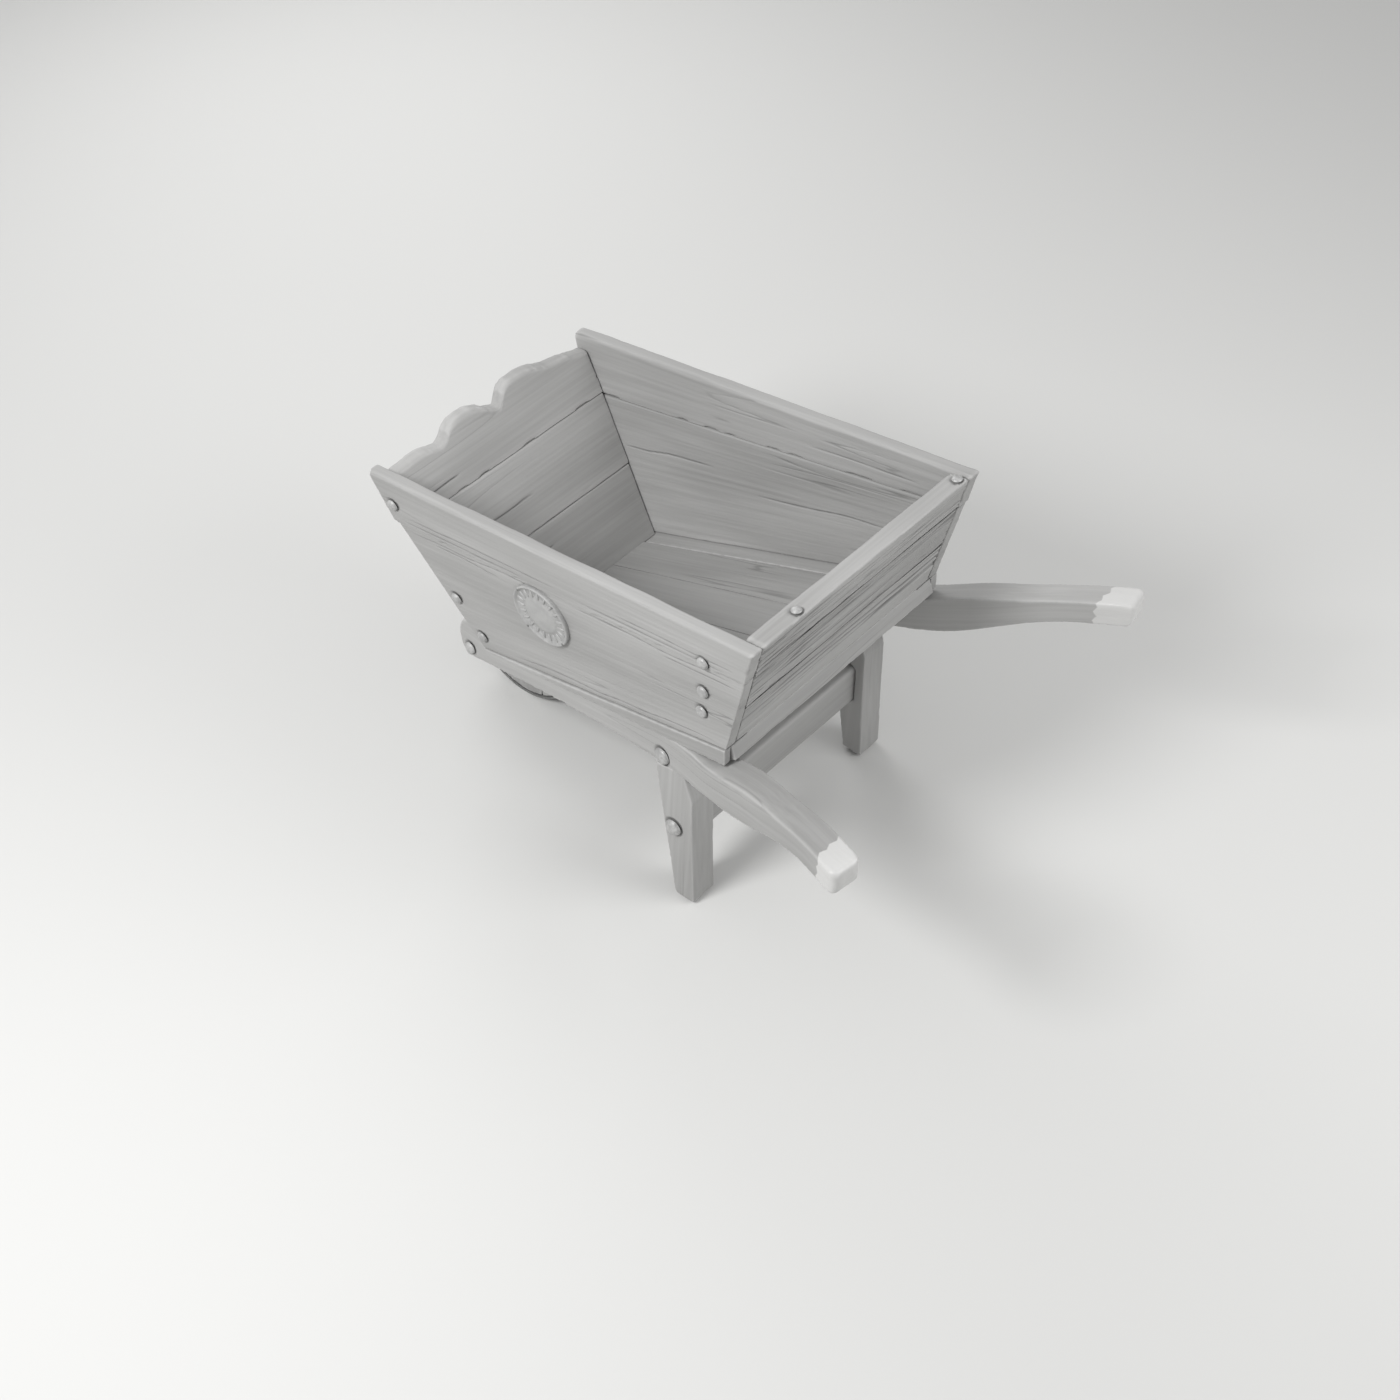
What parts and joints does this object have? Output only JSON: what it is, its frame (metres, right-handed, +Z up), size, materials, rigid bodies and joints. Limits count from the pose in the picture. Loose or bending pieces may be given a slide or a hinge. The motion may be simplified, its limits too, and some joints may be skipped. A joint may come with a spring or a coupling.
{
  "type": "wooden wheelbarrow",
  "caption": "Heavy timber wheelbarrow for mining and digging: flared plank tray on two curved rails that end in grips, legs with a cross brace, and a broad solid wheel under the leaning front.",
  "frame": {"origin": "on the ground under the centre of the whole barrow's box", "axes": "+Z up, +Y back towards the grips (the wheel is at -Y), +X the operator's left hand"},
  "size_m": [0.9538, 1.3291, 0.8285],
  "materials": {
    "weathered_timber": "matte, weathered grey, worn edges",
    "forged_iron": "satin, hand-forged",
    "badge_plate": "satin, weathered"
  },
  "bodies": {
    "barrow": {"axle": "forged_iron", "axle_pins": "forged_iron", "axle_washers": "forged_iron", "badge": "badge_plate", "badge_pins": "forged_iron", "brace_bolts": "forged_iron", "bracket_bolts": "forged_iron", "bracket_nuts": "forged_iron", "floor_pegs": "weathered_timber", "floor_plank_1": "weathered_timber", "floor_plank_2": "weathered_timber", "floor_plank_3": "weathered_timber", "floor_plank_4": "weathered_timber", "front_bolster": "weathered_timber", "front_lower_board": "weathered_timber", "front_middle_board": "weathered_timber", "front_top_board": "weathered_timber", "left_axle_bracket": "weathered_timber", "left_board_nails": "forged_iron", "left_leg": "weathered_timber", "left_lower_board": "weathered_timber", "left_rail": "weathered_timber", "left_rear_cleat": "weathered_timber", "left_sill": "weathered_timber", "left_top_board": "weathered_timber", "leg_bolt_nuts": "forged_iron", "leg_bolt_washers": "forged_iron", "leg_bolts": "forged_iron", "leg_brace": "weathered_timber", "middle_bolster": "weathered_timber", "rail_toe_rivets": "forged_iron", "rear_bolster": "weathered_timber", "rear_lower_board": "weathered_timber", "rear_middle_board": "weathered_timber", "rear_rim_nails": "forged_iron", "rear_sill": "weathered_timber", "rear_top_board": "weathered_timber", "right_axle_bracket": "weathered_timber", "right_board_nails": "forged_iron", "right_leg": "weathered_timber", "right_lower_board": "weathered_timber", "right_rail": "weathered_timber", "right_rear_cleat": "weathered_timber", "right_sill": "weathered_timber", "right_top_board": "weathered_timber", "rivet_roves": "forged_iron", "sill_pegs": "weathered_timber"},
    "wheel": {"wheel_plank_front": "weathered_timber", "wheel_plank_middle": "weathered_timber", "wheel_plank_rear": "weathered_timber", "wheel_dowels": "forged_iron", "wheel_tyre": "forged_iron", "tyre_nails": "forged_iron", "left_hub_plate": "forged_iron", "right_hub_plate": "forged_iron", "hub_plate_nails": "forged_iron", "hub_bush": "forged_iron"}
  },
  "joints": [
    {"name": "wheel_spin", "type": "hinge", "parent": "barrow", "child": "wheel", "pos_m": [0, -0.502, 0.148], "axis": [1, 0, 0], "continuous": true}
  ]
}
